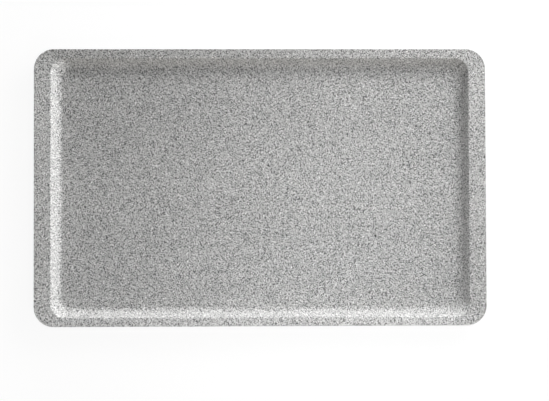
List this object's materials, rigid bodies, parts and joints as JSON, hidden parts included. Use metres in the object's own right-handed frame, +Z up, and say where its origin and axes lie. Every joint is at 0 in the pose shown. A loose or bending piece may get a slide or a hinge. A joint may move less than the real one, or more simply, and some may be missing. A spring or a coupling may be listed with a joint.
{
  "type": "serving tray",
  "caption": "Shallow rectangular serving tray with a flange wider at the ends, sloping walls, a flat floor, rounded corners and a granite-speckled facing.",
  "frame": {"origin": "middle of the base, on the surface that the tray stands on", "axes": "+X along the tray's length, +Y along its width, +Z up out of the well"},
  "size_m": [0.53, 0.325, 0.021],
  "materials": {
    "speckled_facing": "matt resin facing with fine dark and light granite speckle",
    "fibre_compound": "glass-fibre polyester, trimmed edge",
    "lug_compound": "moulded grey polyester, fine matt texture"
  },
  "bodies": {
    "root": {"top_facing_sheet": "speckled_facing", "fibre_core": "fibre_compound", "bottom_facing_sheet": "speckled_facing", "stacking_lug_front_right": "lug_compound", "stacking_lug_rear_right": "lug_compound", "stacking_lug_front_left": "lug_compound", "stacking_lug_rear_left": "lug_compound"}
  },
  "joints": []
}
